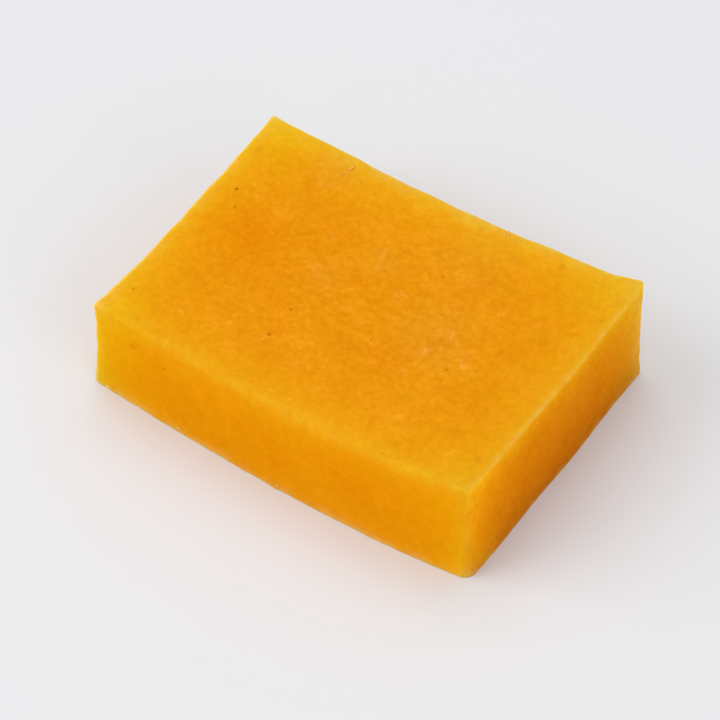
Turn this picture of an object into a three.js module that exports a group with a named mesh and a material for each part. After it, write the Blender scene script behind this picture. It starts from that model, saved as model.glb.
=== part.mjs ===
// Yokan: a slab of firm jelled sweet made from sieved pulp and agar, cut by hand from a set block.
// Millimetres, +Z up. The slab lies on its flat foot at Z = 0, with its long sides along X.
// The front long side faces -Y and has the softest top edge. The end at +X is the fresh, crisp cut.

import * as THREE from "three";
import { mergeVertices } from "three/addons/utils/BufferGeometryUtils.js";

// Main sizes, corner to corner
const FOOT_LENGTH = 86.2;
const FOOT_WIDTH = 60.7;
const HEIGHT = 23.8;

// How far each corner of the hand-cut block lies from where a true block has it, along X, Y and Z
const CORNER_SHIFTS = [
  { end: "left", side: "front", level: "foot", shift: [-0.5, 0, 0] },
  { end: "right", side: "front", level: "foot", shift: [-0.6, 0.05, 0] },
  { end: "right", side: "back", level: "foot", shift: [0.15, 0.6, 0] },
  { end: "left", side: "front", level: "top", shift: [2.35, 0.25, -0.75] },
  { end: "right", side: "front", level: "top", shift: [-2.15, 0.3, 0.3] },
  { end: "right", side: "back", level: "top", shift: [-1.2, -0.4, 0.55] },
  { end: "left", side: "back", level: "top", shift: [0.25, -0.35, -0.05] },
];

// Top corners that the knife has pulled out into a small lip
const LIP_REACH = 5;
const LIPS = [
  { end: 1, side: 1, pull: [-0.25, 0.75, 0.7] },
  { end: -1, side: -1, pull: [-0.5, -0.3, 0] },
];

// Sag of the soft block: its long sides bow towards the front and its top dips between the corners
const BOW_FRONT_FOOT = 2.1;
const BOW_FRONT_TOP = 1.75;
const BOW_FRONT_SKEW = 0.35;
const BOW_BACK = 0.75;
const BOW_RIGHT_FOOT = 0.25;
const BOW_RIGHT_TOP = 0.35;
const HOLLOW_LEFT = 0.2;
const DIP_LONG_EDGE = 1.1;

// Rounding of the top edges and of the uprights, which go straight down to a flat foot
const RADIUS_TOP_FRONT_MIDDLE = 2.4;
const RADIUS_TOP_FRONT_ENDS = 1;
const RADIUS_TOP_BACK = 0.8;
const RADIUS_TOP_LEFT = 1;
const RADIUS_TOP_RIGHT = 0.6;
const UPRIGHTS = [
  { end: -1, side: -1, radius: 1.4 },
  { end: 1, side: -1, radius: 2 },
  { end: 1, side: 1, radius: 1 },
  { end: -1, side: 1, radius: 1.2 },
];
const RADIUS_BLEND = 0.8;
const TOP_ROUNDING_REACH = 3;
const TOP_ROUNDING_FADE = 3;

// Slow waves that the knife and the mould leave in the faces
const WAVE_HEIGHT = 0.12;
const WAVE_LENGTH = 27;
const WAVE_LENGTH_SHORT = 19;
const WAVE_PHASE = { ends: 0.4, sides: 1.3, top: 2.1 };

// Rows of facets along the length, the width and the height
const ROWS_LENGTH = 36;
const ROWS_WIDTH = 26;
const ROWS_HEIGHT = 16;

// Finish
const JELLY_COLOUR = "#ec9410";
const JELLY_ROUGHNESS = 0.5;

const HALF_LENGTH = FOOT_LENGTH / 2;
const HALF_WIDTH = FOOT_WIDTH / 2;
const { clamp, lerp, smoothstep } = THREE.MathUtils;

// Turns even rows from -1 to 1 into rows that crowd towards both ends, where the edges are rounded
function crowdToEnds(share) {
  return Math.sin((share * Math.PI) / 2);
}

// The average radius of some edges, in which the nearest edge counts most
function blendRadii(edges) {
  let weightSum = 0;
  let radiusSum = 0;
  for (const { radius, distance } of edges) {
    const weight = 1 / (distance + RADIUS_BLEND) ** 2;
    weightSum += weight;
    radiusSum += weight * radius;
  }
  return radiusSum / weightSum;
}

// The top edge's radius beside a point of the top
function topEdgeRadius(x, y) {
  const middle = 1 - (x / HALF_LENGTH) ** 2;
  return blendRadii([
    { radius: lerp(RADIUS_TOP_FRONT_ENDS, RADIUS_TOP_FRONT_MIDDLE, middle), distance: HALF_WIDTH + y },
    { radius: RADIUS_TOP_BACK, distance: HALF_WIDTH - y },
    { radius: RADIUS_TOP_LEFT, distance: HALF_LENGTH + x },
    { radius: RADIUS_TOP_RIGHT, distance: HALF_LENGTH - x },
  ]);
}

// The rounding radius at a point of the sharp block: the uprights' or, high up, the top edge's
function edgeRadius({ x, y, z }) {
  const depth = HEIGHT - z;
  const sideShare = smoothstep(depth, TOP_ROUNDING_REACH, TOP_ROUNDING_REACH + TOP_ROUNDING_FADE);
  const uprights = UPRIGHTS.map(({ end, side, radius }) => ({
    radius,
    distance: Math.hypot(x - end * HALF_LENGTH, y - side * HALF_WIDTH),
  }));
  return lerp(topEdgeRadius(x, y), blendRadii(uprights), sideShare);
}

// Pulls a point of the sharp block onto the block with rounded edges and corners.
// Beyond the core, squares about the core become circles, so the foot's rows keep their order.
function roundEdges(point) {
  const radius = edgeRadius(point);
  const core = new THREE.Vector3(
    clamp(point.x, radius - HALF_LENGTH, HALF_LENGTH - radius),
    clamp(point.y, radius - HALF_WIDTH, HALF_WIDTH - radius),
    Math.min(point.z, HEIGHT - radius),
  );
  const outward = point.clone().sub(core);
  const reach = Math.max(...outward.toArray().map(Math.abs));
  return core.add(outward.setLength(reach));
}

// A slow two-way wave between -1 and 1
function wave(along, across, phase) {
  const first = Math.sin((2 * Math.PI * along) / WAVE_LENGTH + phase);
  const second = Math.cos((2 * Math.PI * across) / WAVE_LENGTH_SHORT - phase);
  return first * second;
}

// How far the lips pull a point of the block
function lipPull(point) {
  const pull = new THREE.Vector3();
  for (const lip of LIPS) {
    const corner = new THREE.Vector3(lip.end * HALF_LENGTH, lip.side * HALF_WIDTH, HEIGHT);
    const share = Math.exp(-((corner.distanceTo(point) / LIP_REACH) ** 2));
    pull.addScaledVector(new THREE.Vector3(...lip.pull), share);
  }
  return pull;
}

// Shifts, bows, dips and waves the rounded block into the slab as it lies
function settle(point) {
  const { x, y, z } = point;
  const toRight = x / HALF_LENGTH;
  const toBack = y / HALF_WIDTH;
  const rise = z / HEIGHT;
  const midLength = 1 - toRight ** 2;
  const midWidth = 1 - toBack ** 2;
  const share = {
    left: (1 - toRight) / 2,
    right: (1 + toRight) / 2,
    front: (1 - toBack) / 2,
    back: (1 + toBack) / 2,
    foot: 1 - rise,
    top: rise,
  };

  const settled = point.clone().add(lipPull(point));
  for (const { end, side, level, shift } of CORNER_SHIFTS) {
    settled.addScaledVector(new THREE.Vector3(...shift), share[end] * share[side] * share[level]);
  }

  const bowRight = lerp(BOW_RIGHT_FOOT, BOW_RIGHT_TOP, rise);
  const bowFront = lerp(BOW_FRONT_FOOT, BOW_FRONT_TOP, rise) * (1 + BOW_FRONT_SKEW * toRight);
  settled.x += midWidth * (share.left * HOLLOW_LEFT + share.right * bowRight);
  settled.y -= midLength * (share.front * bowFront + share.back * BOW_BACK);

  const dipShortEdge = DIP_LONG_EDGE * (HALF_WIDTH / HALF_LENGTH) ** 2;
  settled.z -= rise ** 2 * (DIP_LONG_EDGE * midLength + dipShortEdge * midWidth);

  settled.x += WAVE_HEIGHT * toRight * wave(y, z, WAVE_PHASE.ends);
  settled.y += WAVE_HEIGHT * toBack * wave(x, z, WAVE_PHASE.sides);
  settled.z += WAVE_HEIGHT * rise * wave(x, y, WAVE_PHASE.top);
  return settled;
}

// One closed skin: a box of facet rows whose corners are moved onto the slab
function slabGeometry() {
  const box = new THREE.BoxGeometry(2, 2, 2, ROWS_LENGTH, ROWS_WIDTH, ROWS_HEIGHT);
  box.deleteAttribute("normal");
  box.deleteAttribute("uv");
  const geometry = mergeVertices(box);
  const position = geometry.getAttribute("position");
  for (let i = 0; i < position.count; i++) {
    const sharp = new THREE.Vector3(
      HALF_LENGTH * crowdToEnds(position.getX(i)),
      HALF_WIDTH * crowdToEnds(position.getY(i)),
      (HEIGHT * (1 + crowdToEnds(position.getZ(i)))) / 2,
    );
    const placed = settle(roundEdges(sharp));
    position.setXYZ(i, placed.x, placed.y, placed.z);
  }
  return geometry;
}

// Puts the origin under the middle of the slab's own box, on the surface that it lies on
function centreOnFoot(geometry) {
  geometry.computeBoundingBox();
  const { min, max } = geometry.boundingBox;
  geometry.translate(-(min.x + max.x) / 2, -(min.y + max.y) / 2, -min.z);
  geometry.computeVertexNormals();
  return geometry;
}

const jelly = new THREE.MeshStandardMaterial({
  color: JELLY_COLOUR,
  roughness: JELLY_ROUGHNESS,
  metalness: 0,
});
const slab = new THREE.Mesh(centreOnFoot(slabGeometry()), jelly);
slab.name = "yokan";

const part = new THREE.Group();
part.add(slab);

export default part;
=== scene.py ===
# %% [markdown]
# # A slab of yokan
# Yokan is a firm sweet: sieved pulp, sugar and agar are cooked together, poured out to set and cut with
# a knife. This lesson dresses a plain CAD slab so that it looks like the real thing, a soft, slightly
# sagging block with a finely grained skin that lets a little light through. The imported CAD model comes
# in first, as a frame that stays as it is. All that follows is fitted to it, in metres, with +Z up, so
# nothing has to be moved or scaled afterwards.

import math
import random

import bmesh
import bpy
from mathutils import Matrix, Vector, noise
from mathutils.bvhtree import BVHTree


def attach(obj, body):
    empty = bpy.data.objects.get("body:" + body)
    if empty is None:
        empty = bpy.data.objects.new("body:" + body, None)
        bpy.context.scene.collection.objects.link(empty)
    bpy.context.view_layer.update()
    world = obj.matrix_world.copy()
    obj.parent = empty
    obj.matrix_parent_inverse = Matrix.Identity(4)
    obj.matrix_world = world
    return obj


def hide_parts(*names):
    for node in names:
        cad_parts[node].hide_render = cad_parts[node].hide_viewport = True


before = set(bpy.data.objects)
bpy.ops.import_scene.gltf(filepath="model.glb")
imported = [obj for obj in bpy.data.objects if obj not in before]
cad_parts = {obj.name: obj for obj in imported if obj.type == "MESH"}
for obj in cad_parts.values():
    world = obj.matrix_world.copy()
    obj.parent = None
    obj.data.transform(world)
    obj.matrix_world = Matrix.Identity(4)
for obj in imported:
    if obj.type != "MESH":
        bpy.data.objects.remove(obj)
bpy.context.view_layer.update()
slab_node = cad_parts["yokan"]
MM = 0.001

# %% [markdown]
# ## The camera
# The slab is seen from above and a little to the right of its front, through a long lens from about
# half a metre away, so its upright edges stay almost parallel. Aiming at a point, at an azimuth, an
# elevation and a distance, is easier to read and to change than a bare location and three angles.

# %% Place the camera
VIEW_AZIMUTH = math.radians(34.0)
VIEW_ELEVATION = math.radians(48.8)
VIEW_DISTANCE = 484 * MM
VIEW_TARGET = Vector((-2.39, 1.97, 2.06)) * MM
LENS_LENGTH = 125

view_back = Vector((
    math.sin(VIEW_AZIMUTH) * math.cos(VIEW_ELEVATION),
    -math.cos(VIEW_AZIMUTH) * math.cos(VIEW_ELEVATION),
    math.sin(VIEW_ELEVATION),
))
camera_data = bpy.data.cameras.new("camera")
camera_data.lens = LENS_LENGTH
camera = bpy.data.objects.new("camera", camera_data)
camera.location = VIEW_TARGET + VIEW_DISTANCE * view_back
camera.rotation_euler = view_back.to_track_quat("Z", "Y").to_euler()
bpy.context.scene.collection.objects.link(camera)
bpy.context.scene.camera = camera
print("camera at", [round(part, 3) for part in camera.location], "m")

# %% [markdown]
# ## The block, cut into rows
# The real slab is one block, so it starts as one cube. To be rounded, sagged and dented softly it needs
# many small faces. A remesh would give them too, but its faces wander over the edges. Loop cuts keep
# clean rows along every edge, and subdivide_edges makes them when it is given only the edges that run
# one way.

# %% Cut a cube into rows
ROWS_XYZ = (180, 128, 52)
SAME_PLACE = 1e-6


def edges_along(mesh, axis):
    """The edges of a box of rows that run along one axis."""
    found = []
    for edge in mesh.edges:
        first, second = edge.verts
        if abs(first.co[axis] - second.co[axis]) > SAME_PLACE:
            found.append(edge)
    return found


block = bmesh.new()
bmesh.ops.create_cube(block, size=2)
for axis, rows in enumerate(ROWS_XYZ):
    bmesh.ops.subdivide_edges(block, edges=edges_along(block, axis), cuts=rows - 1, use_grid_fill=True)
print("block of rows:", len(block.verts), "corners,", len(block.faces), "faces")

# %% [markdown]
# ## Rounded edges
# A knife leaves the end on the right almost sharp, while the front top edge has slumped into a soft
# curve. One Bevel would round every edge alike. Here each corner of the rows is pulled towards the
# nearest point of a smaller core and set one radius away from it, and that radius depends on the
# nearest edge. The sizes are the CAD slab's own, in millimetres.

# %% Round the edges
FOOT_LENGTH = 86.2
FOOT_WIDTH = 60.7
HEIGHT = 23.8
RADIUS_TOP_FRONT_MIDDLE = 2.4
RADIUS_TOP_FRONT_ENDS = 1.0
RADIUS_TOP_BACK = 0.8
RADIUS_TOP_LEFT = 1.0
RADIUS_TOP_RIGHT = 0.6
# Each upright: its end (-1 left, 1 right), its side (-1 front, 1 back) and its radius
UPRIGHTS = ((-1, -1, 1.4), (1, -1, 2.0), (1, 1, 1.0), (-1, 1, 1.2))
RADIUS_BLEND = 0.8
TOP_ROUNDING_REACH = 3.0
TOP_ROUNDING_FADE = 3.0
HALF_LENGTH = FOOT_LENGTH / 2
HALF_WIDTH = FOOT_WIDTH / 2


def mix(start, stop, share):
    """The value that lies that share of the way from start to stop."""
    return start + (stop - start) * share


def clamp(value, low, high):
    """The value, held between low and high."""
    return max(low, min(high, value))


def smooth_step(value, low, high):
    """0 below low, 1 above high, and a soft rise between them."""
    share = clamp((value - low) / (high - low), 0, 1)
    return share * share * (3 - 2 * share)


def blend_radii(edges):
    """The average of some edges' radii, in which the nearest edge counts most."""
    weights = [1 / (distance + RADIUS_BLEND) ** 2 for _, distance in edges]
    return sum(weight * radius for weight, (radius, _) in zip(weights, edges)) / sum(weights)


def top_edge_radius(x, y):
    """The top edge's radius beside a point of the top."""
    middle = 1 - (x / HALF_LENGTH) ** 2
    return blend_radii((
        (mix(RADIUS_TOP_FRONT_ENDS, RADIUS_TOP_FRONT_MIDDLE, middle), HALF_WIDTH + y),
        (RADIUS_TOP_BACK, HALF_WIDTH - y),
        (RADIUS_TOP_LEFT, HALF_LENGTH + x),
        (RADIUS_TOP_RIGHT, HALF_LENGTH - x),
    ))


def edge_radius(point):
    """The uprights' radius or, high up, the top edge's."""
    x, y, z = point
    side_share = smooth_step(HEIGHT - z, TOP_ROUNDING_REACH, TOP_ROUNDING_REACH + TOP_ROUNDING_FADE)
    uprights = [
        (radius, math.hypot(x - end * HALF_LENGTH, y - side * HALF_WIDTH))
        for end, side, radius in UPRIGHTS
    ]
    return mix(top_edge_radius(x, y), blend_radii(uprights), side_share)


def round_edges(point):
    """Pulls a point of the sharp block onto the block with rounded top edges and uprights."""
    radius = edge_radius(point)
    core = Vector((
        clamp(point.x, radius - HALF_LENGTH, HALF_LENGTH - radius),
        clamp(point.y, radius - HALF_WIDTH, HALF_WIDTH - radius),
        min(point.z, HEIGHT - radius),
    ))
    outward = point - core
    return core + outward.normalized() * max(abs(part) for part in outward)


front_middle = Vector((0, -HALF_WIDTH, HEIGHT))
print("front top edge: radius", round(edge_radius(front_middle), 2), "mm in its middle")

# %% [markdown]
# ## Sag and lean
# Nobody cuts quite square, so each corner lies a little off, and two corners are pulled out into a
# small lip. The jelly is soft as well: its long sides bow towards the front and its top dips between
# the corners. A Lattice could bend the block by hand. Short formulas do it with the sizes that were
# measured, and they are the ones that the CAD slab was made with.

# %% Let the block settle
# Each corner of the block, and how far it lies from where a true block has it
CORNER_SHIFTS = (
    ("left", "front", "foot", Vector((-0.5, 0.0, 0.0))),
    ("right", "front", "foot", Vector((-0.6, 0.05, 0.0))),
    ("right", "back", "foot", Vector((0.15, 0.6, 0.0))),
    ("left", "front", "top", Vector((2.35, 0.25, -0.75))),
    ("right", "front", "top", Vector((-2.15, 0.3, 0.3))),
    ("right", "back", "top", Vector((-1.2, -0.4, 0.55))),
    ("left", "back", "top", Vector((0.25, -0.35, -0.05))),
)
LIP_REACH = 5.0
# Each lip: the corner that it grows from, and its pull
LIPS = (
    (Vector((HALF_LENGTH, HALF_WIDTH, HEIGHT)), Vector((-0.25, 0.75, 0.7))),
    (Vector((-HALF_LENGTH, -HALF_WIDTH, HEIGHT)), Vector((-0.5, -0.3, 0.0))),
)
BOW_FRONT_FOOT = 2.1
BOW_FRONT_TOP = 1.75
BOW_FRONT_SKEW = 0.35
BOW_BACK = 0.75
BOW_RIGHT_FOOT = 0.25
BOW_RIGHT_TOP = 0.35
HOLLOW_LEFT = 0.2
DIP_LONG_EDGE = 1.1
WAVE_HEIGHT = 0.12
WAVE_LENGTH = 27
WAVE_LENGTH_SHORT = 19
WAVE_PHASE_ENDS = 0.4
WAVE_PHASE_SIDES = 1.3
WAVE_PHASE_TOP = 2.1


def near(point, centre, reach):
    """1 at the centre, falling off softly over the reach."""
    return math.exp(-(((point - centre).length / reach) ** 2))


def wave(along, across, phase):
    """A slow two-way wave between -1 and 1, as a knife leaves."""
    first = math.sin(math.tau * along / WAVE_LENGTH + phase)
    return first * math.cos(math.tau * across / WAVE_LENGTH_SHORT - phase)


def settle(point):
    """Shifts, bows, dips and waves a point of the rounded block to where the slab's skin lies."""
    x, y, z = point
    to_right = x / HALF_LENGTH
    to_back = y / HALF_WIDTH
    rise = z / HEIGHT
    mid_length = 1 - to_right**2
    mid_width = 1 - to_back**2
    share = {
        "left": (1 - to_right) / 2,
        "right": (1 + to_right) / 2,
        "front": (1 - to_back) / 2,
        "back": (1 + to_back) / 2,
        "foot": 1 - rise,
        "top": rise,
    }
    settled = point.copy()
    for corner, pull in LIPS:
        settled += near(point, corner, LIP_REACH) * pull
    for end, side, level, shift in CORNER_SHIFTS:
        settled += share[end] * share[side] * share[level] * shift

    bow_right = mix(BOW_RIGHT_FOOT, BOW_RIGHT_TOP, rise)
    bow_front = mix(BOW_FRONT_FOOT, BOW_FRONT_TOP, rise) * (1 + BOW_FRONT_SKEW * to_right)
    settled.x += mid_width * (share["left"] * HOLLOW_LEFT + share["right"] * bow_right)
    settled.y -= mid_length * (share["front"] * bow_front + share["back"] * BOW_BACK)
    dip_short_edge = DIP_LONG_EDGE * (HALF_WIDTH / HALF_LENGTH) ** 2
    settled.z -= rise**2 * (DIP_LONG_EDGE * mid_length + dip_short_edge * mid_width)

    settled.x += WAVE_HEIGHT * to_right * wave(y, z, WAVE_PHASE_ENDS)
    settled.y += WAVE_HEIGHT * to_back * wave(x, z, WAVE_PHASE_SIDES)
    settled.z += WAVE_HEIGHT * rise * wave(x, y, WAVE_PHASE_TOP)
    return settled


top_middle = Vector((0, 0, HEIGHT))
print("top: dips", round(HEIGHT - settle(top_middle).z, 2), "mm in its middle")

# %% [markdown]
# ## The rows become the slab
# Each corner of the rows now goes to its place. The rows crowd a little towards the edges, where the
# skin curves most. The points of the rounded block are kept, because distances are easy to measure
# there, before the sag. The result is then measured against the CAD slab, which it has to follow.

# %% Place the rows
ROW_CROWDING = 0.6


def crowd_to_ends(share):
    """Even rows from -1 to 1 become rows that lie closer together near both ends."""
    return mix(share, math.sin(share * math.pi / 2), ROW_CROWDING)


rounded_points = []
for vert in block.verts:
    sharp = Vector((
        HALF_LENGTH * crowd_to_ends(vert.co.x),
        HALF_WIDTH * crowd_to_ends(vert.co.y),
        HEIGHT * (1 + crowd_to_ends(vert.co.z)) / 2,
    ))
    rounded_points.append(round_edges(sharp))
    vert.co = settle(rounded_points[-1])

low = Vector(min(vert.co[axis] for vert in block.verts) for axis in range(3))
high = Vector(max(vert.co[axis] for vert in block.verts) for axis in range(3))
foot_centre = Vector(((low.x + high.x) / 2, (low.y + high.y) / 2, low.z))
bmesh.ops.translate(block, verts=block.verts, vec=-foot_centre)
block.normal_update()

cad_skin = BVHTree.FromObject(slab_node, bpy.context.evaluated_depsgraph_get())
# The last thing that find_nearest gives is a distance
skin_gaps = [cad_skin.find_nearest(vert.co * MM)[-1] / MM for vert in block.verts]
print("moved by", -foot_centre, "mm; skin follows the CAD slab within", round(max(skin_gaps), 3), "mm")

# %% [markdown]
# ## Where light shines through
# Near an edge the jelly is thin, so it glows yellower there. The very edge is rough and pale in broken
# stretches, with a painted highlight along it, and along the foot its light line is painted light. How
# strongly differs from edge to edge, with the light that falls behind it. Each corner of the rows notes
# its share of both. A ready-made Pointiness or Bevel node finds edges too, but it can't tell one edge
# from another.

# %% Note the glow and the painted highlight of the edges
GLOW_REACH = 4.8
BREAK_SIZE = 3.6
BREAK_MIDDLE = 0.8
BREAK_STRENGTH = 2.6
BREAK_MOST = 1.8
EDGES = {
    ("top", "left"): {"glow": 0.76, "pale_highlight": 0.70, "highlight_reach": 0.9, "broken": 0.5},
    ("top", "back"): {"glow": 0.70, "pale_highlight": 0.60, "highlight_reach": 1.1, "broken": 0.5},
    ("top", "front"): {"glow": 0.48, "pale_highlight": 0.11, "highlight_reach": 1.3, "broken": 0.3},
    ("top", "right"): {"glow": 0.44, "pale_highlight": 0.78, "highlight_reach": 0.30, "broken": 0.5},
    ("left", "front"): {"glow": 0.98, "pale_highlight": 0.50, "highlight_reach": 0.9, "broken": 0.4},
    ("front", "right"): {"glow": 0.70, "pale_highlight": 0.14, "highlight_reach": 0.8, "broken": 0.5},
    ("right", "back"): {"glow": 1.00, "pale_highlight": 0.60, "highlight_reach": 1.6, "broken": 0.3},
    ("back", "left"): {"glow": 0.85, "pale_highlight": 0.40, "highlight_reach": 1.0, "broken": 0.5},
    ("foot", "left"): {"glow": 0.05, "pale_highlight": 0.80, "highlight_reach": 0.8, "broken": 0.6},
    ("foot", "front"): {"glow": 0.05, "pale_highlight": 0.80, "highlight_reach": 0.8, "broken": 0.6},
    ("foot", "right"): {"glow": 0.00, "pale_highlight": 0.40, "highlight_reach": 0.8, "broken": 0.6},
    ("foot", "back"): {"glow": 0.05, "pale_highlight": 0.80, "highlight_reach": 0.8, "broken": 0.6},
}


def side_gaps(point):
    """How far a point of the rounded block lies inside each of its six sides."""
    return {
        "left": HALF_LENGTH + point.x,
        "right": HALF_LENGTH - point.x,
        "front": HALF_WIDTH + point.y,
        "back": HALF_WIDTH - point.y,
        "foot": point.z,
        "top": HEIGHT - point.z,
    }


def glow_and_pale_highlight(point):
    """The shares of glow and of the lighter edge, partly a painted highlight, at a point, with the edges
    that meet there taken together.
    """
    gaps = side_gaps(point)
    breaks = clamp(BREAK_MIDDLE + BREAK_STRENGTH * noise.noise(point / BREAK_SIZE), 0, BREAK_MOST)
    no_glow = 1
    no_pale_highlight = 1
    for (first, second), edge in EDGES.items():
        gap = max(gaps[first], gaps[second])
        pale_highlight = edge["pale_highlight"] * mix(1, breaks, edge["broken"])
        no_glow *= 1 - edge["glow"] * math.exp(-gap / GLOW_REACH)
        no_pale_highlight *= 1 - clamp(pale_highlight, 0, 1) * math.exp(-gap / edge["highlight_reach"])
    return 1 - no_glow, 1 - no_pale_highlight


glows, pale_highlights = zip(*(glow_and_pale_highlight(point) for point in rounded_points))
print("glow from", round(min(glows), 2), "to", round(max(glows), 2))

# %% [markdown]
# ## Painted light and shade, and broad patches
# The end on the right is in shade, so it gets a painted shade of deeper orange, most of all low down,
# with painted light near its top and its uprights. Painted light lifts the foot, and painted shade holds
# down the top and front near the lit left and front edges. A few soft patches of the top are redder or
# paler than the rest, and some paler strokes on it are a painted sheen. A painter would brush them on
# with vertex paint. Here bands along the edges and soft round strokes are placed by their reach, so the
# paint is the same in every run.

# %% Paint the light, shade and patches
NO_TINT = Vector((1, 1, 1))
FACING_NONE = 0.3
FACING_ALL = 0.9
# Painted light and shade for each whole side: the end on the right is in shade and is painted a deeper
# orange
SIDE_LIGHT_AND_SHADE_TINTS = {
    "left": Vector((1.05, 0.935, 0.33)),
    "front": Vector((1.05, 0.935, 0.33)),
    "back": Vector((1.05, 0.935, 0.33)),
    "right": Vector((1.01, 0.690, 0.47)),
}
# Bands of painted light and shade: shade near the lit left and front edges, light along the foot and on
# the end's top and uprights, shade low on the end
# Each band: the side that it is painted on, the edge that it starts from, its reach and its colour
EDGE_LIGHT_AND_SHADE_TINTS = (
    ("top", "left", 2.7, Vector((0.77, 0.95, 1.0))),
    ("left", "top", 2.0, Vector((0.86, 1.0, 1.0))),
    ("top", "front", 3.0, Vector((0.87, 0.99, 1.0))),
    ("top", "right", 5.0, Vector((0.89, 0.95, 1.0))),
    ("top", "right", 1.6, Vector((1.0, 1.0, 2.4))),
    ("top", "back", 4.0, Vector((0.95, 1.0, 1.0))),
    ("front", "top", 3.0, Vector((0.87, 0.99, 1.0))),
    ("front", "left", 3.0, Vector((0.80, 1.02, 1.0))),
    ("left", "front", 3.0, Vector((0.86, 1.0, 1.0))),
    ("front", "right", 20.0, Vector((1.04, 1.0, 1.0))),
    ("front", "right", 1.5, Vector((0.93, 1.0, 1.0))),
    ("front", "foot", 1.4, Vector((1.0, 1.16, 1.8))),
    ("left", "foot", 1.4, Vector((1.0, 1.16, 1.8))),
    ("back", "foot", 1.4, Vector((1.0, 1.16, 1.8))),
    ("right", "top", 3.8, Vector((1.03, 1.45, 1.5))),
    ("right", "front", 8.0, Vector((1.34, 1.36, 0.9))),
    ("right", "front", 1.5, Vector((0.86, 0.97, 1.0))),
    ("right", "back", 7.0, Vector((1.16, 1.38, 2.6))),
    ("right", "foot", 8.0, Vector((0.59, 0.57, 1.2))),
)
# Each stroke: its centre, its reach and its colour. Most are patches of the top; the paler ones on the
# top are a painted sheen, and the one low at the front right corner is painted light
PATCH_SHEEN_AND_LIGHT_STROKES = (
    (Vector((-28, 0, 23)), 9.0, Vector((0.985, 0.88, 0.45))),
    (Vector((40, 28, 24)), 7.0, Vector((0.97, 0.92, 1.0))),
    (Vector((12, 19, 23)), 8.0, Vector((0.99, 1.01, 1.7))),
    (Vector((-35, -26, 23)), 9.0, Vector((1.0, 0.955, 0.9))),
    (Vector((38, -27, 23)), 7.0, Vector((1.0, 0.945, 1.0))),
    (Vector((43.5, -26, 1)), 5.0, Vector((1.10, 1.22, 1.0))),
    (Vector((41, -28, 20)), 4.5, Vector((0.97, 0.90, 1.0))),
    (Vector((-12, -11, 22)), 5.0, Vector((1.0, 0.96, 0.8))),
    (Vector((10, -10, 22)), 2.5, Vector((1.0, 0.93, 0.8))),
    (Vector((16, 0, 22)), 7.0, Vector((0.99, 1.05, 2.5))),
    (Vector((-2, 10, 22)), 3.5, Vector((1.0, 1.04, 2.0))),
    (Vector((-10, 2, 22)), 3.5, Vector((1.0, 1.03, 2.0))),
    (Vector((-24, 26, 23)), 4.0, Vector((1.0, 1.0, 3.0))),
    (Vector((-14, 12, 22)), 4.0, Vector((1.0, 0.97, 1.0))),
)


def side_shares(normal):
    """How much a point belongs to each side of the slab, by the way it faces."""
    x, y, z = normal
    facing = {"left": -x, "right": x, "front": -y, "back": y, "top": z}
    shares = {side: smooth_step(share, FACING_NONE, FACING_ALL) for side, share in facing.items()}
    total = max(1, sum(shares.values()))
    return {side: share / total for side, share in shares.items()}


def light_shade_and_patch_tint(point, normal, gaps):
    """The colour that the jelly is multiplied with at a point: painted light and shade, and broad
    patches.
    """
    shares = side_shares(normal)
    result = NO_TINT.copy()
    for side, colour in SIDE_LIGHT_AND_SHADE_TINTS.items():
        result *= NO_TINT.lerp(colour, shares[side])
    for side, edge, reach, colour in EDGE_LIGHT_AND_SHADE_TINTS:
        result *= NO_TINT.lerp(colour, shares[side] * math.exp(-gaps[edge] / reach))
    for centre, reach, colour in PATCH_SHEEN_AND_LIGHT_STROKES:
        result *= NO_TINT.lerp(colour, near(point, centre, reach))
    return (*result, 1)


light_shade_and_patch_tints = [
    light_shade_and_patch_tint(vert.co, vert.normal, side_gaps(point))
    for vert, point in zip(block.verts, rounded_points)
]
greens = [green for _, green, _, _ in light_shade_and_patch_tints]
print("green tint from", round(min(greens), 2), "to", round(max(greens), 2))

# %% [markdown]
# ## Where the grain shows
# The pulp's fine grain shows most in the middle of the top, where the slab set in the open. Towards the
# rim and on the cut sides it is smeared smooth. Two materials could be used, but they would meet in a
# hard line. A share for each corner of the rows lets one finish do both.

# %% Note the strength of the grain
RIM_SIDES = ("left", "right", "front", "back")
GRAIN_TOP_MIDDLE = 1.0
GRAIN_TOP_RIM = 0.40
GRAIN_RIM_REACH = 15.0
GRAIN_CUT_SIDE = 0.37
GRAIN_CRISP_END = 0.75


def grain_strength(shares, gaps):
    """How strongly the grain shows at a point, by its side of the slab and its distance from the rim."""
    rim = math.exp(-min(gaps[side] for side in RIM_SIDES) / GRAIN_RIM_REACH)
    top_strength = mix(GRAIN_TOP_MIDDLE, GRAIN_TOP_RIM, rim)
    more_on_top = shares["top"] * (top_strength - GRAIN_CUT_SIDE)
    more_on_end = shares["right"] * (GRAIN_CRISP_END - GRAIN_CUT_SIDE)
    return GRAIN_CUT_SIDE + more_on_top + more_on_end


grain_strengths = [
    grain_strength(side_shares(vert.normal), side_gaps(point))
    for vert, point in zip(block.verts, rounded_points)
]
print("grain from", round(min(grain_strengths), 2), "to", round(max(grain_strengths), 2))

# %% [markdown]
# ## Lumps, nicks and ragged edges
# Seen close, the top is a field of soft lumps where the pulp shows through. The top edges are a little
# crumbled, the foot's edge is ragged, and lifting the slab has left nicks and drawn out a few corner
# tips. A Displace modifier could push the skin about, but not by the side and edge that a point belongs
# to. So each point is moved here. Noise from mathutils always gives the same pattern, and each run
# makes the same slab.

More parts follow.
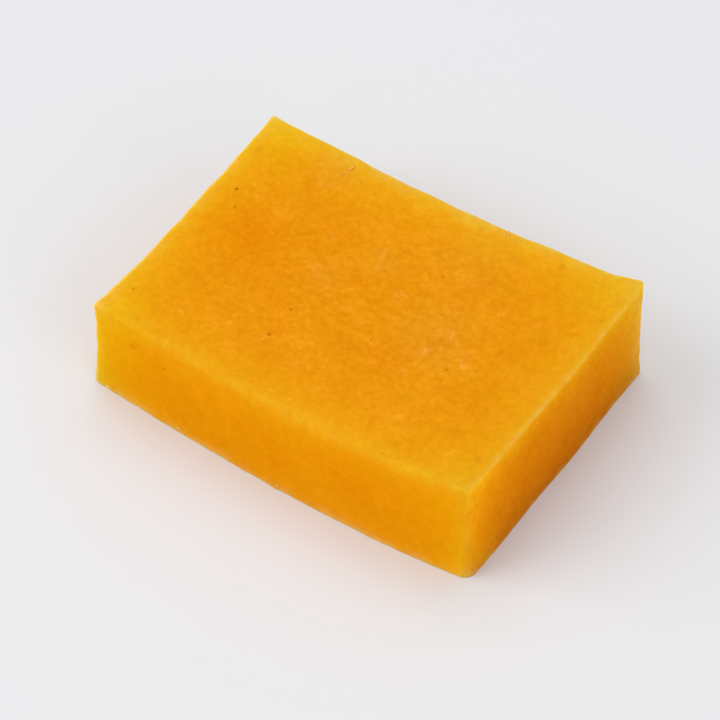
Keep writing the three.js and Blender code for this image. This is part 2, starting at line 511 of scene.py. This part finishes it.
# %% Raise the relief
LUMP_SIZE = 5.0
LUMP_HEIGHT = 0.10
GRAIN_SIZE = 1.7
GRAIN_HEIGHT = 0.035
CRUMBLE_SIZE = 2.3
CRUMBLE_HEIGHT = 0.16
CRUMBLE_OFFSET = Vector((7, 3, 5))
CRUMBLE_DEPTH = 8.0
SIDE_RELIEF = 0.45
FOOT_FADE = 1.5
RAGGED_SIZE = 2.4
RAGGED_REACH = 0.9
RAGGED_DEPTHS = {"left": 0.13, "front": 0.13, "back": 0.13, "right": 0.04}
FRACTAL_FADE = 1.0
FRACTAL_STEP = 2.0
FRACTAL_LAYERS = 2
TOP_FACING_NONE = 0.2
TOP_FACING_ALL = 0.8
# Each nick: its centre, its reach and its height, which is below 0 for a dent and above 0 for a bump
NICKS = (
    (Vector((-42.2, -29.3, 10.3)), 1.3, -0.16),
    (Vector((-41.4, -29.6, 16.5)), 3.5, 0.16),
    (Vector((42.9, 31.5, 4.2)), 1.3, -0.16),
    (Vector((42.7, 31.4, 6.6)), 1.0, 0.10),
    (Vector((2.5, 29.3, 22.6)), 3.0, -0.18),
    (Vector((22.5, 29.3, 23.4)), 4.0, 0.20),
    (Vector((-21.5, 29.3, 23.0)), 3.0, 0.14),
    (Vector((-41.8, -17.0, 23.0)), 2.5, -0.14),
    (Vector((-41.8, -7.5, 23.0)), 2.5, 0.12),
    (Vector((-41.8, -3.0, 23.0)), 2.3, -0.22),
    (Vector((-41.8, 7.5, 23.0)), 3.0, 0.18),
    (Vector((-41.8, 12.0, 23.0)), 2.0, -0.15),
    (Vector((-33.0, -30.4, 0.8)), 1.6, -0.22),
    (Vector((-40.8, -29.1, 22.5)), 1.3, 0.35),
    (Vector((41.6, 31.1, 24.7)), 0.9, 0.15),
    (Vector((-42.4, 30.4, 23.3)), 1.2, 0.15),
)


def rough_noise(point):
    """A noise with a finer layer on top of it."""
    return noise.fractal(point, FRACTAL_FADE, FRACTAL_STEP, FRACTAL_LAYERS)


def relief(point, top_share, glow):
    """How far the skin stands out at a point, in millimetres."""
    lumps = LUMP_HEIGHT * noise.noise(point / LUMP_SIZE)
    grain = GRAIN_HEIGHT * rough_noise(point / GRAIN_SIZE)
    is_high = smooth_step(point.z, HEIGHT - CRUMBLE_DEPTH, HEIGHT)
    crumbled = CRUMBLE_HEIGHT * is_high * glow**2 * noise.noise(point / CRUMBLE_SIZE + CRUMBLE_OFFSET)
    nicks = sum(depth * near(point, at, reach) for at, reach, depth in NICKS)
    return (lumps + grain) * mix(SIDE_RELIEF, 1, top_share) + crumbled + nicks


def foot_push(point):
    """The sideways push that makes the foot's edge ragged, in millimetres."""
    gaps = side_gaps(point)
    depth = {side: most * math.exp(-gaps[side] / RAGGED_REACH) for side, most in RAGGED_DEPTHS.items()}
    outward = Vector((depth["right"] - depth["left"], depth["back"] - depth["front"], 0))
    return outward * rough_noise(point / RAGGED_SIZE) * math.exp(-gaps["foot"] / RAGGED_REACH)


tops = []
for vert, point, glow in zip(block.verts, rounded_points, glows):
    tops.append(smooth_step(vert.normal.z, TOP_FACING_NONE, TOP_FACING_ALL))
    push = relief(vert.co, tops[-1], glow) * smooth_step(vert.co.z, 0, FOOT_FADE)
    vert.co += vert.normal * push + foot_push(point)
print("top of the relief:", round(max(vert.co.z for vert in block.verts), 2), "mm")

# %% [markdown]
# ## One mesh object
# The finished rows become a mesh object at the origin, unturned and unscaled, with its place in its
# points. The notes from before are stored as attributes, which a material can read.

# %% Make the slab object
for vert in block.verts:
    vert.co *= MM
slab_mesh = bpy.data.meshes.new("yokan_slab")
block.to_mesh(slab_mesh)
block.free()
for name, values in (("glow", glows), ("pale_highlight", pale_highlights), ("top", tops), ("grainy", grain_strengths)):
    slab_mesh.attributes.new(name, "FLOAT", "POINT").data.foreach_set("value", values)
paint = slab_mesh.attributes.new("light_shade_and_patch_tint", "FLOAT_COLOR", "POINT")
paint.data.foreach_set("color", [channel for colour in light_shade_and_patch_tints for channel in colour])
slab_mesh.shade_smooth()
slab = bpy.data.objects.new("yokan_slab", slab_mesh)
bpy.context.scene.collection.objects.link(slab)
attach(slab, "root")
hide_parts("yokan")
print("slab:", len(slab_mesh.polygons), "faces")

# %% [markdown]
# ## A helper for node trees
# A material is a small machine of nodes. Writing one line for each node, with its settings and whatever
# is plugged into it, keeps the machine readable.

# %% Node helper


def add_node(tree, kind, inputs=None, **settings):
    """Adds a node; an input is a plain value, or another node's socket that gets linked to it."""
    made = tree.nodes.new(kind)
    for name, value in settings.items():
        setattr(made, name, value)
    for name, value in (inputs or {}).items():
        if isinstance(value, bpy.types.NodeSocket):
            tree.links.new(value, made.inputs[name])
        else:
            made.inputs[name].default_value = value
    return made


def new_material(name):
    """An empty node material with its output node."""
    material = bpy.data.materials.new(name)
    material.use_nodes = True
    material.node_tree.nodes.clear()
    output = material.node_tree.nodes.new("ShaderNodeOutputMaterial")
    return material, material.node_tree, output


def add_surface(tree, output, inputs):
    """Adds the main shader and plugs it into the output."""
    shader = add_node(tree, "ShaderNodeBsdfPrincipled", inputs)
    tree.links.new(shader.outputs["BSDF"], output.inputs["Surface"])


# %% [markdown]
# ## Helpers for the jelly
# The jelly's finish reads the notes that the slab carries, and patterns that are fixed to the slab.
# Object coordinates stay with it wherever it goes, and counted in millimetres the sizes of the patterns
# are easy to choose. Short helpers keep the lines that follow about jelly, not about sockets.

# %% Jelly helpers
MILLIMETRES_PER_METRE = 1000

jelly, jelly_tree, jelly_output = new_material("set_jelly")
slab_place = add_node(jelly_tree, "ShaderNodeTexCoord").outputs["Object"]
to_mm = {0: slab_place, "Scale": MILLIMETRES_PER_METRE}
place_mm = add_node(jelly_tree, "ShaderNodeVectorMath", to_mm, operation="SCALE").outputs["Vector"]


def slab_note(name, socket="Fac"):
    """A note that is stored on the slab's mesh."""
    return add_node(jelly_tree, "ShaderNodeAttribute", attribute_name=name).outputs[socket]


def jelly_noise(size, detail=2.0, roughness=0.5, distortion=0.0):
    """A noise from 0 to 1 whose largest features are about that many millimetres wide."""
    inputs = {"Vector": place_mm, "Scale": 1 / size, "Detail": detail}
    inputs |= {"Roughness": roughness, "Distortion": distortion}
    return add_node(jelly_tree, "ShaderNodeTexNoise", inputs).outputs["Fac"]


def jelly_math(operation, first, second):
    """Adds or multiplies two values."""
    return add_node(jelly_tree, "ShaderNodeMath", {0: first, 1: second}, operation=operation).outputs[0]


def remap(value, old_range, new_range):
    """Carries a value softly from one range to another."""
    inputs = {"Value": value, "From Min": old_range[0], "From Max": old_range[1]}
    inputs |= {"To Min": new_range[0], "To Max": new_range[1]}
    made = add_node(jelly_tree, "ShaderNodeMapRange", inputs, interpolation_type="SMOOTHSTEP")
    return made.outputs["Result"]


def blend(share, first, second, blend_type="MIX"):
    """Mixes two colours; a share of 0 gives the first."""
    inputs = {"Fac": share, "Color1": first, "Color2": second}
    return add_node(jelly_tree, "ShaderNodeMixRGB", inputs, blend_type=blend_type).outputs["Color"]


print("jelly: patterns follow", slab_place.name, "coordinates")

# %% [markdown]
# ## Patterns of the pulp
# Sieved pulp is seen at many sizes: broad clouds, a coarse grain, a fine stipple, short curled fibres
# whose shine is painted as pale glints, and small redder spots. Each is a noise of its own size, and
# distortion curls the fibres. One noise alone would look like static. The notes on the slab say where
# each pattern shows.

# %% Pulp patterns
NONE_TO_ALL = (0, 1)
FLECK_NOISE = (0.56, 0.74)
FLECK_BREAK_NOISE = (0.35, 0.65)
FLECK_BREAKS = (0.3, 1.1)
SPOT_NOISE = (0.34, 0.20)
SPOT_STRENGTHS = (0, 0.45)
GLOW_BREAK_NOISE = (0.3, 0.7)
GLOW_BREAKS = (0.88, 1.09)

top_note = slab_note("top")
grain_note = slab_note("grainy")
clouds = jelly_noise(size=12)
pulp_grain = jelly_noise(size=4.5, detail=5, roughness=0.95)
stipple = jelly_noise(size=1.4, detail=2.5, roughness=0.7)
fibres = jelly_noise(size=3.2, detail=2, roughness=0.55, distortion=0.4)
edge_patches = jelly_noise(size=3.6, detail=2)

fleck_breaks = remap(stipple, FLECK_BREAK_NOISE, FLECK_BREAKS)
broken_fibre_glints = jelly_math("MULTIPLY", remap(fibres, FLECK_NOISE, NONE_TO_ALL), fleck_breaks)
fibre_glints = jelly_math("MULTIPLY", broken_fibre_glints, jelly_math("MULTIPLY", top_note, grain_note))
spots = jelly_math("MULTIPLY", remap(fibres, SPOT_NOISE, SPOT_STRENGTHS), top_note)
edge_glow = jelly_math("MULTIPLY", slab_note("glow"), remap(edge_patches, GLOW_BREAK_NOISE, GLOW_BREAKS))
print("pulp: patterns made with", len(jelly_tree.nodes), "nodes")

# %% [markdown]
# ## The jelly's colour
# The pulp makes the jelly orange, and it turns yellower at the edges, where light takes a short way
# through it. The patterns change the colour by only a few percent, because the real slab is almost
# even. They are mixed in one after another, from the inside out: body, glow, painted glints of the
# fibres, spots, painted light and shade with broad patches, pale edges with painted highlights, stipple.

# %% Jelly colour
COLOUR_DEEP = (0.690, 0.232, 0.0026, 1)
COLOUR_BODY = (0.767, 0.285, 0.0038, 1)
COLOUR_PALE = (0.845, 0.344, 0.0120, 1)
COLOUR_SPOT = (0.680, 0.215, 0.002, 1)
COLOUR_GLOW = (0.790, 0.500, 0.006, 1)
COLOUR_EDGE_HIGHLIGHT = (0.820, 0.440, 0.105, 1)
STIPPLE_DARK = (0.952, 0.868, 0.430, 1)
STIPPLE_LIGHT = (1.048, 1.132, 1.570, 1)
STIPPLE_NOISE = (0.25, 0.75)
FLECK_GLINT_TINT = (1.08, 1.12, 4.1, 1)
WHITE = (1, 1, 1, 1)
CLOUD_SHARE = 0.3
GRAIN_SHARE = 0.7
TONE_DEEP = 0.25
TONE_BODY = 0.5
TONE_PALE = 0.75

cloud_tone = jelly_math("MULTIPLY", clouds, CLOUD_SHARE)
tone = jelly_math("ADD", cloud_tone, jelly_math("MULTIPLY", pulp_grain, GRAIN_SHARE))
body_ramp = add_node(jelly_tree, "ShaderNodeValToRGB", {"Fac": tone})
body_ramp.color_ramp.elements[0].position = TONE_DEEP
body_ramp.color_ramp.elements[0].color = COLOUR_DEEP
body_ramp.color_ramp.elements[1].position = TONE_PALE
body_ramp.color_ramp.elements[1].color = COLOUR_PALE
body_ramp.color_ramp.elements.new(TONE_BODY).color = COLOUR_BODY

stipple_tint = blend(remap(stipple, STIPPLE_NOISE, NONE_TO_ALL), STIPPLE_DARK, STIPPLE_LIGHT)
colour = blend(edge_glow, body_ramp.outputs["Color"], COLOUR_GLOW)
# The fibres' shine, painted as pale glints
colour = blend(1.0, colour, blend(fibre_glints, WHITE, FLECK_GLINT_TINT), "MULTIPLY")
colour = blend(spots, colour, COLOUR_SPOT)
# Painted light and shade, with the broad patches, multiply the colour
colour = blend(1.0, colour, slab_note("light_shade_and_patch_tint", "Color"), "MULTIPLY")
# The edge's own lighter colour, with a painted highlight along it and painted light at the foot
colour = blend(slab_note("pale_highlight"), colour, COLOUR_EDGE_HIGHLIGHT)
colour = blend(grain_note, colour, stipple_tint, "MULTIPLY")
print("colour: mixed with", len(jelly_tree.nodes), "nodes")

# %% [markdown]
# ## The jelly's skin
# Set jelly has a dull, faintly folded skin. Subsurface scattering carries light a few millimetres
# through the slab, furthest in red, which softens the shaded end. A plain diffuse surface would look
# like painted clay. Close to the foot the light is carried less far, so that the slab doesn't glow
# where it touches the ground.

# %% Jelly skin
FOLD_NOISE = (0.5, 0.36)
FOLD_HEIGHTS = (0.1, 0.6)
BUMP_STRENGTHS = (0.25, 0.90)
BUMP_DEPTH = 0.3 * MM
ROUGH_NOISE = (0.3, 0.7)
ROUGHNESSES = (0.42, 0.6)
FAINT_GLOSS = 0.001
SCATTER_RISE = (0, 9)
SCATTER_REACHES = (0.6 * MM, 14 * MM)

patches = jelly_noise(size=9)
folds = jelly_noise(size=1.6, detail=1, roughness=0.4, distortion=0.5)
fold_height = jelly_math("MULTIPLY", folds, remap(patches, FOLD_NOISE, FOLD_HEIGHTS))
bump_inputs = {
    "Height": jelly_math("ADD", pulp_grain, fold_height),
    "Strength": remap(grain_note, NONE_TO_ALL, BUMP_STRENGTHS),
    "Distance": BUMP_DEPTH,
}
above_foot = add_node(jelly_tree, "ShaderNodeSeparateXYZ", {"Vector": place_mm}).outputs["Z"]
jelly_surface = {
    "Base Color": colour,
    "Roughness": remap(pulp_grain, ROUGH_NOISE, ROUGHNESSES),
    "Normal": add_node(jelly_tree, "ShaderNodeBump", bump_inputs).outputs["Normal"],
    "IOR": 1.4,
    "Specular IOR Level": FAINT_GLOSS,
    "Subsurface Weight": 0.85,
    "Subsurface Radius": (1.0, 0.16, 0.04),
    "Subsurface Scale": remap(above_foot, SCATTER_RISE, SCATTER_REACHES),
}
add_surface(jelly_tree, jelly_output, jelly_surface)
slab_mesh.materials.append(jelly)
print("jelly:", len(jelly_tree.nodes), "nodes")

# %% [markdown]
# ## A helper for grains
# Small grains lie in the skin of a real slab. They could be painted as dots, but real grains catch a
# rim of light. Each one is a small flattened ball, dropped onto the skin from outside with a ray and
# sunk until only a dome of it shows. All grains of a kind are one mesh, and each notes how far its
# colour is from the jelly's.

# %% Grain helper
GRAIN_SEED = 869
GRAIN_LUMP_SIZE = 0.4
GRAIN_LUMP_SHARE = 0.25
GRAIN_ROUNDNESS = 3
RAY_HEIGHT = 60
RAY_DISTANCE = 80
MOTTLES_PER_METRE = 4000
MOTTLE_DETAIL = 2

chance = random.Random(GRAIN_SEED)
slab_skin = BVHTree.FromObject(slab, bpy.context.evaluated_depsgraph_get())


def ray_to(side, first, second):
    """The start and direction of a ray that meets a side of the slab at two of its coordinates."""
    rays = {
        "top": (Vector((first, second, RAY_HEIGHT)), Vector((0, 0, -1))),
        "front": (Vector((first, -RAY_DISTANCE, second)), Vector((0, 1, 0))),
        "back": (Vector((first, RAY_DISTANCE, second)), Vector((0, -1, 0))),
        "left": (Vector((-RAY_DISTANCE, first, second)), Vector((1, 0, 0))),
    }
    return rays[side]


def drop_grains(name, rows, thickness, showing, most_turn):
    """One object of grains; a row has a side, two coordinates, a length, a width and a colour share."""
    grains = bmesh.new()
    share_layer = grains.verts.layers.float.new("share")
    for side, first, second, length, width, share in rows:
        start, direction = ray_to(side, first, second)
        spot, normal, _, _ = slab_skin.ray_cast(start * MM, direction)
        half_sizes = Vector((length, width, thickness)) / 2
        sink = (half_sizes.z - showing) * MM
        facing = normal.to_track_quat("Z", "Y").to_matrix().to_4x4()
        turn = Matrix.Rotation(chance.uniform(0, most_turn), 4, "Z")
        sizes = Matrix.Diagonal((*half_sizes * MM, 1))
        matrix = Matrix.Translation(spot - normal * sink) @ facing @ turn @ sizes
        ball = bmesh.ops.create_icosphere(grains, subdivisions=GRAIN_ROUNDNESS, radius=1, matrix=matrix)
        for vert in ball["verts"]:
            lump = GRAIN_LUMP_SHARE * noise.noise(vert.co / (GRAIN_LUMP_SIZE * MM))
            vert.co += (vert.co - spot) * lump
            vert[share_layer] = share
    mesh = bpy.data.meshes.new(name)
    grains.to_mesh(mesh)
    grains.free()
    mesh.shade_smooth()
    made = bpy.data.objects.new(name, mesh)
    bpy.context.scene.collection.objects.link(made)
    return made


def grain_finish(name, low_colour, high_colour):
    """A mottled finish between two colours, mixed with the jelly's own by each grain's share."""
    material, tree, output = new_material(name)
    coordinates = add_node(tree, "ShaderNodeTexCoord").outputs["Object"]
    mottle_inputs = {"Vector": coordinates, "Scale": MOTTLES_PER_METRE, "Detail": MOTTLE_DETAIL}
    mottle = add_node(tree, "ShaderNodeTexNoise", mottle_inputs)
    shades = add_node(tree, "ShaderNodeValToRGB", {"Fac": mottle.outputs["Fac"]})
    shades.color_ramp.elements[0].color = low_colour
    shades.color_ramp.elements[1].color = high_colour
    share = add_node(tree, "ShaderNodeAttribute", attribute_name="share").outputs["Fac"]
    mixed = {"Fac": share, "Color1": COLOUR_BODY, "Color2": shades.outputs["Color"]}
    surface = {
        "Base Color": add_node(tree, "ShaderNodeMixRGB", mixed).outputs["Color"],
        "Roughness": 0.6,
        "Specular IOR Level": FAINT_GLOSS,
        "Subsurface Weight": 0.3,
        "Subsurface Radius": (1.0, 0.2, 0.05),
        "Subsurface Scale": 0.3 * MM,
    }
    add_surface(tree, output, surface)
    return material


print("grains: ready to drop on", len(slab_mesh.polygons), "faces of skin")

# %% [markdown]
# ## Specks
# A few dark specks of roasted pulp lie flush in the skin. Scattering them with a particle system would
# be quicker, but then none would sit where it does on the real slab. So the seen ones are placed one by
# one, the hidden sides get a few of their own, and all are sunk until only a low dome shows.

# %% Drop the specks
# Each speck: a side, two coordinates on it, a length, a width and a share of the roasted colour
SPECKS = (
    ("top", -36.8, 10.1, 1.15, 0.95, 1.0),
    ("top", -34.3, 6.0, 1.4, 0.8, 0.5),
    ("top", -10.0, -16.8, 1.05, 0.85, 0.85),
    ("top", -10.3, -9.4, 1.0, 0.8, 0.7),
    ("top", 22.1, -6.0, 0.9, 0.75, 0.6),
    ("top", 8.9, 13.1, 1.15, 0.85, 0.4),
    ("top", -37.3, -22.1, 0.9, 0.7, 0.3),
    ("front", -24.6, 15.8, 1.0, 0.8, 0.5),
    ("front", -32.2, 16.9, 2.0, 1.4, 0.15),
    ("back", -12.0, 14.0, 0.95, 0.8, 0.6),
    ("back", 17.5, 8.5, 0.8, 0.7, 0.4),
    ("left", 9.0, 16.0, 0.9, 0.75, 0.5),
    ("left", -14.0, 9.0, 0.8, 0.65, 0.4),
    ("top", 39.7, 18.9, 0.65, 0.5, 0.5),
    ("top", -17.8, 25.2, 0.7, 0.5, 0.4),
    ("top", 6.4, -7.5, 0.7, 0.5, 0.55),
    ("top", 18.5, -1.2, 0.8, 0.6, 0.45),
    ("top", 13.9, 5.0, 0.85, 0.6, 0.4),
    ("top", -1.0, 8.4, 0.7, 0.5, 0.45),
    ("top", 7.9, 2.3, 0.6, 0.45, 0.5),
    ("top", 23.5, -29.3, 0.65, 0.5, 0.25),
    ("top", 4.2, -30.4, 0.65, 0.5, 0.12),
)
SPECK_THICKNESS = 0.35
SPECK_SHOWING = 0.06
ROAST_DARK = (0.42, 0.085, 0.001, 1)
ROAST_LIGHT = (0.66, 0.185, 0.002, 1)

specks = drop_grains("specks", SPECKS, SPECK_THICKNESS, SPECK_SHOWING, math.pi)
specks.data.materials.append(grain_finish("roasted_speck", ROAST_DARK, ROAST_LIGHT))
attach(specks, "root")
print("specks:", len(SPECKS), "grains,", len(specks.data.polygons), "faces")

# %% [markdown]
# ## Crumbs
# Cutting tears a few tiny crumbs from the jelly. They stick along the foot, and some thin ones lie on
# the back top edge. They let more light through, so they are paler than the slab. The grain helper
# makes them too, but unlike the specks they stand proud of the skin and lie along the edge.

# %% Stick on the crumbs
# Each crumb: a side, two coordinates on it, a length, a width and a share of the pale colour
CRUMBS = (
    ("front", -39.6, 0.45, 1.3, 0.7, 1.0),
    ("front", -31.3, 0.4, 0.9, 0.55, 0.7),
    ("front", -21.8, 1.1, 0.8, 0.6, 0.7),
    ("front", 1.8, 1.3, 0.8, 0.5, 0.4),
    ("front", 8.6, 0.9, 0.8, 0.5, 0.3),
    ("left", 12.5, 0.6, 0.8, 0.6, 0.6),
    ("left", -9.0, 0.45, 0.7, 0.5, 0.4),
    ("back", -16.0, 0.45, 0.9, 0.6, 0.7),
    ("back", 21.5, 0.9, 0.7, 0.5, 0.4),
    ("top", -21.4, 27.2, 1.9, 0.6, 0.48),
    ("top", -21.9, 25.4, 1.3, 0.5, 0.35),
    ("top", 13.4, 29.2, 1.3, 0.6, 0.5),
    ("top", 16.4, 28.9, 0.9, 0.5, 0.42),
)
CRUMB_THICKNESS = 0.5
CRUMB_SHOWING = 0.22
CRUMB_MOST_TURN = 0.4
CRUMB_DARK = (0.90, 0.44, 0.06, 1)
CRUMB_LIGHT = (0.95, 0.62, 0.20, 1)

crumbs = drop_grains("crumbs", CRUMBS, CRUMB_THICKNESS, CRUMB_SHOWING, CRUMB_MOST_TURN)
crumbs.data.materials.append(grain_finish("pale_crumb", CRUMB_DARK, CRUMB_LIGHT))
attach(crumbs, "root")
crumb_low = min(vert.co.z for vert in crumbs.data.vertices)
print("crumbs:", len(CRUMBS), "grains; lowest at", round(crumb_low / MM, 3), "mm")

# %% [markdown]
# ## Floor and light
# A plain pale floor and soft light keep the eye on the slab. A large panel on the left leaves the end
# on the right in shade, a wide panel above lights the top, a weak one on the right lifts the shade a
# little, and the pale world fills in the rest. A sun would be simpler, but its shadows are too hard for
# a room.

# %% Set the stage
FLOOR_SIDE = 6.0
FLOOR_GAP = 0.02 * MM
FLOOR_COLOUR = (0.745, 0.75, 0.77, 1)
FLOOR_ROUGHNESS = 0.6
WORLD_STRENGTH = 0.60

floor_mesh = bpy.data.meshes.new("floor")
sheet = bmesh.new()
bmesh.ops.create_grid(sheet, x_segments=1, y_segments=1, size=FLOOR_SIDE / 2)
sheet.to_mesh(floor_mesh)
sheet.free()
floor_mesh.transform(Matrix.Translation((0, 0, -FLOOR_GAP)))
floor = bpy.data.objects.new("floor", floor_mesh)
bpy.context.scene.collection.objects.link(floor)

plaster, floor_tree, floor_output = new_material("pale_floor")
add_surface(floor_tree, floor_output, {"Base Color": FLOOR_COLOUR, "Roughness": FLOOR_ROUGHNESS})
floor_mesh.materials.append(plaster)


def soft_panel(name, location, side, watts):
    """A square area light that faces the slab's middle."""
    data = bpy.data.lights.new(name, "AREA")
    data.shape = "SQUARE"
    data.size = side
    data.energy = watts
    panel = bpy.data.objects.new(name, data)
    panel.location = location
    panel.rotation_euler = Vector(location).to_track_quat("Z", "Y").to_euler()
    bpy.context.scene.collection.objects.link(panel)


soft_panel("left_panel", (-1.25, -1.03, 1.13), side=1.5, watts=17.4)
soft_panel("top_panel", (-0.35, 0.5, 2.2), side=1.7, watts=13.2)
soft_panel("right_panel", (1.35, -0.45, 0.8), side=1.2, watts=5.2)

world = bpy.data.worlds.new("studio")
world.use_nodes = True
world_light = world.node_tree.nodes["Background"].inputs
world_light["Color"].default_value = WHITE
world_light["Strength"].default_value = WORLD_STRENGTH
bpy.context.scene.world = world
bpy.context.scene.view_settings.view_transform = "Standard"
print("stage: a floor", FLOOR_SIDE, "m wide and", len(bpy.data.lights), "panels of light")
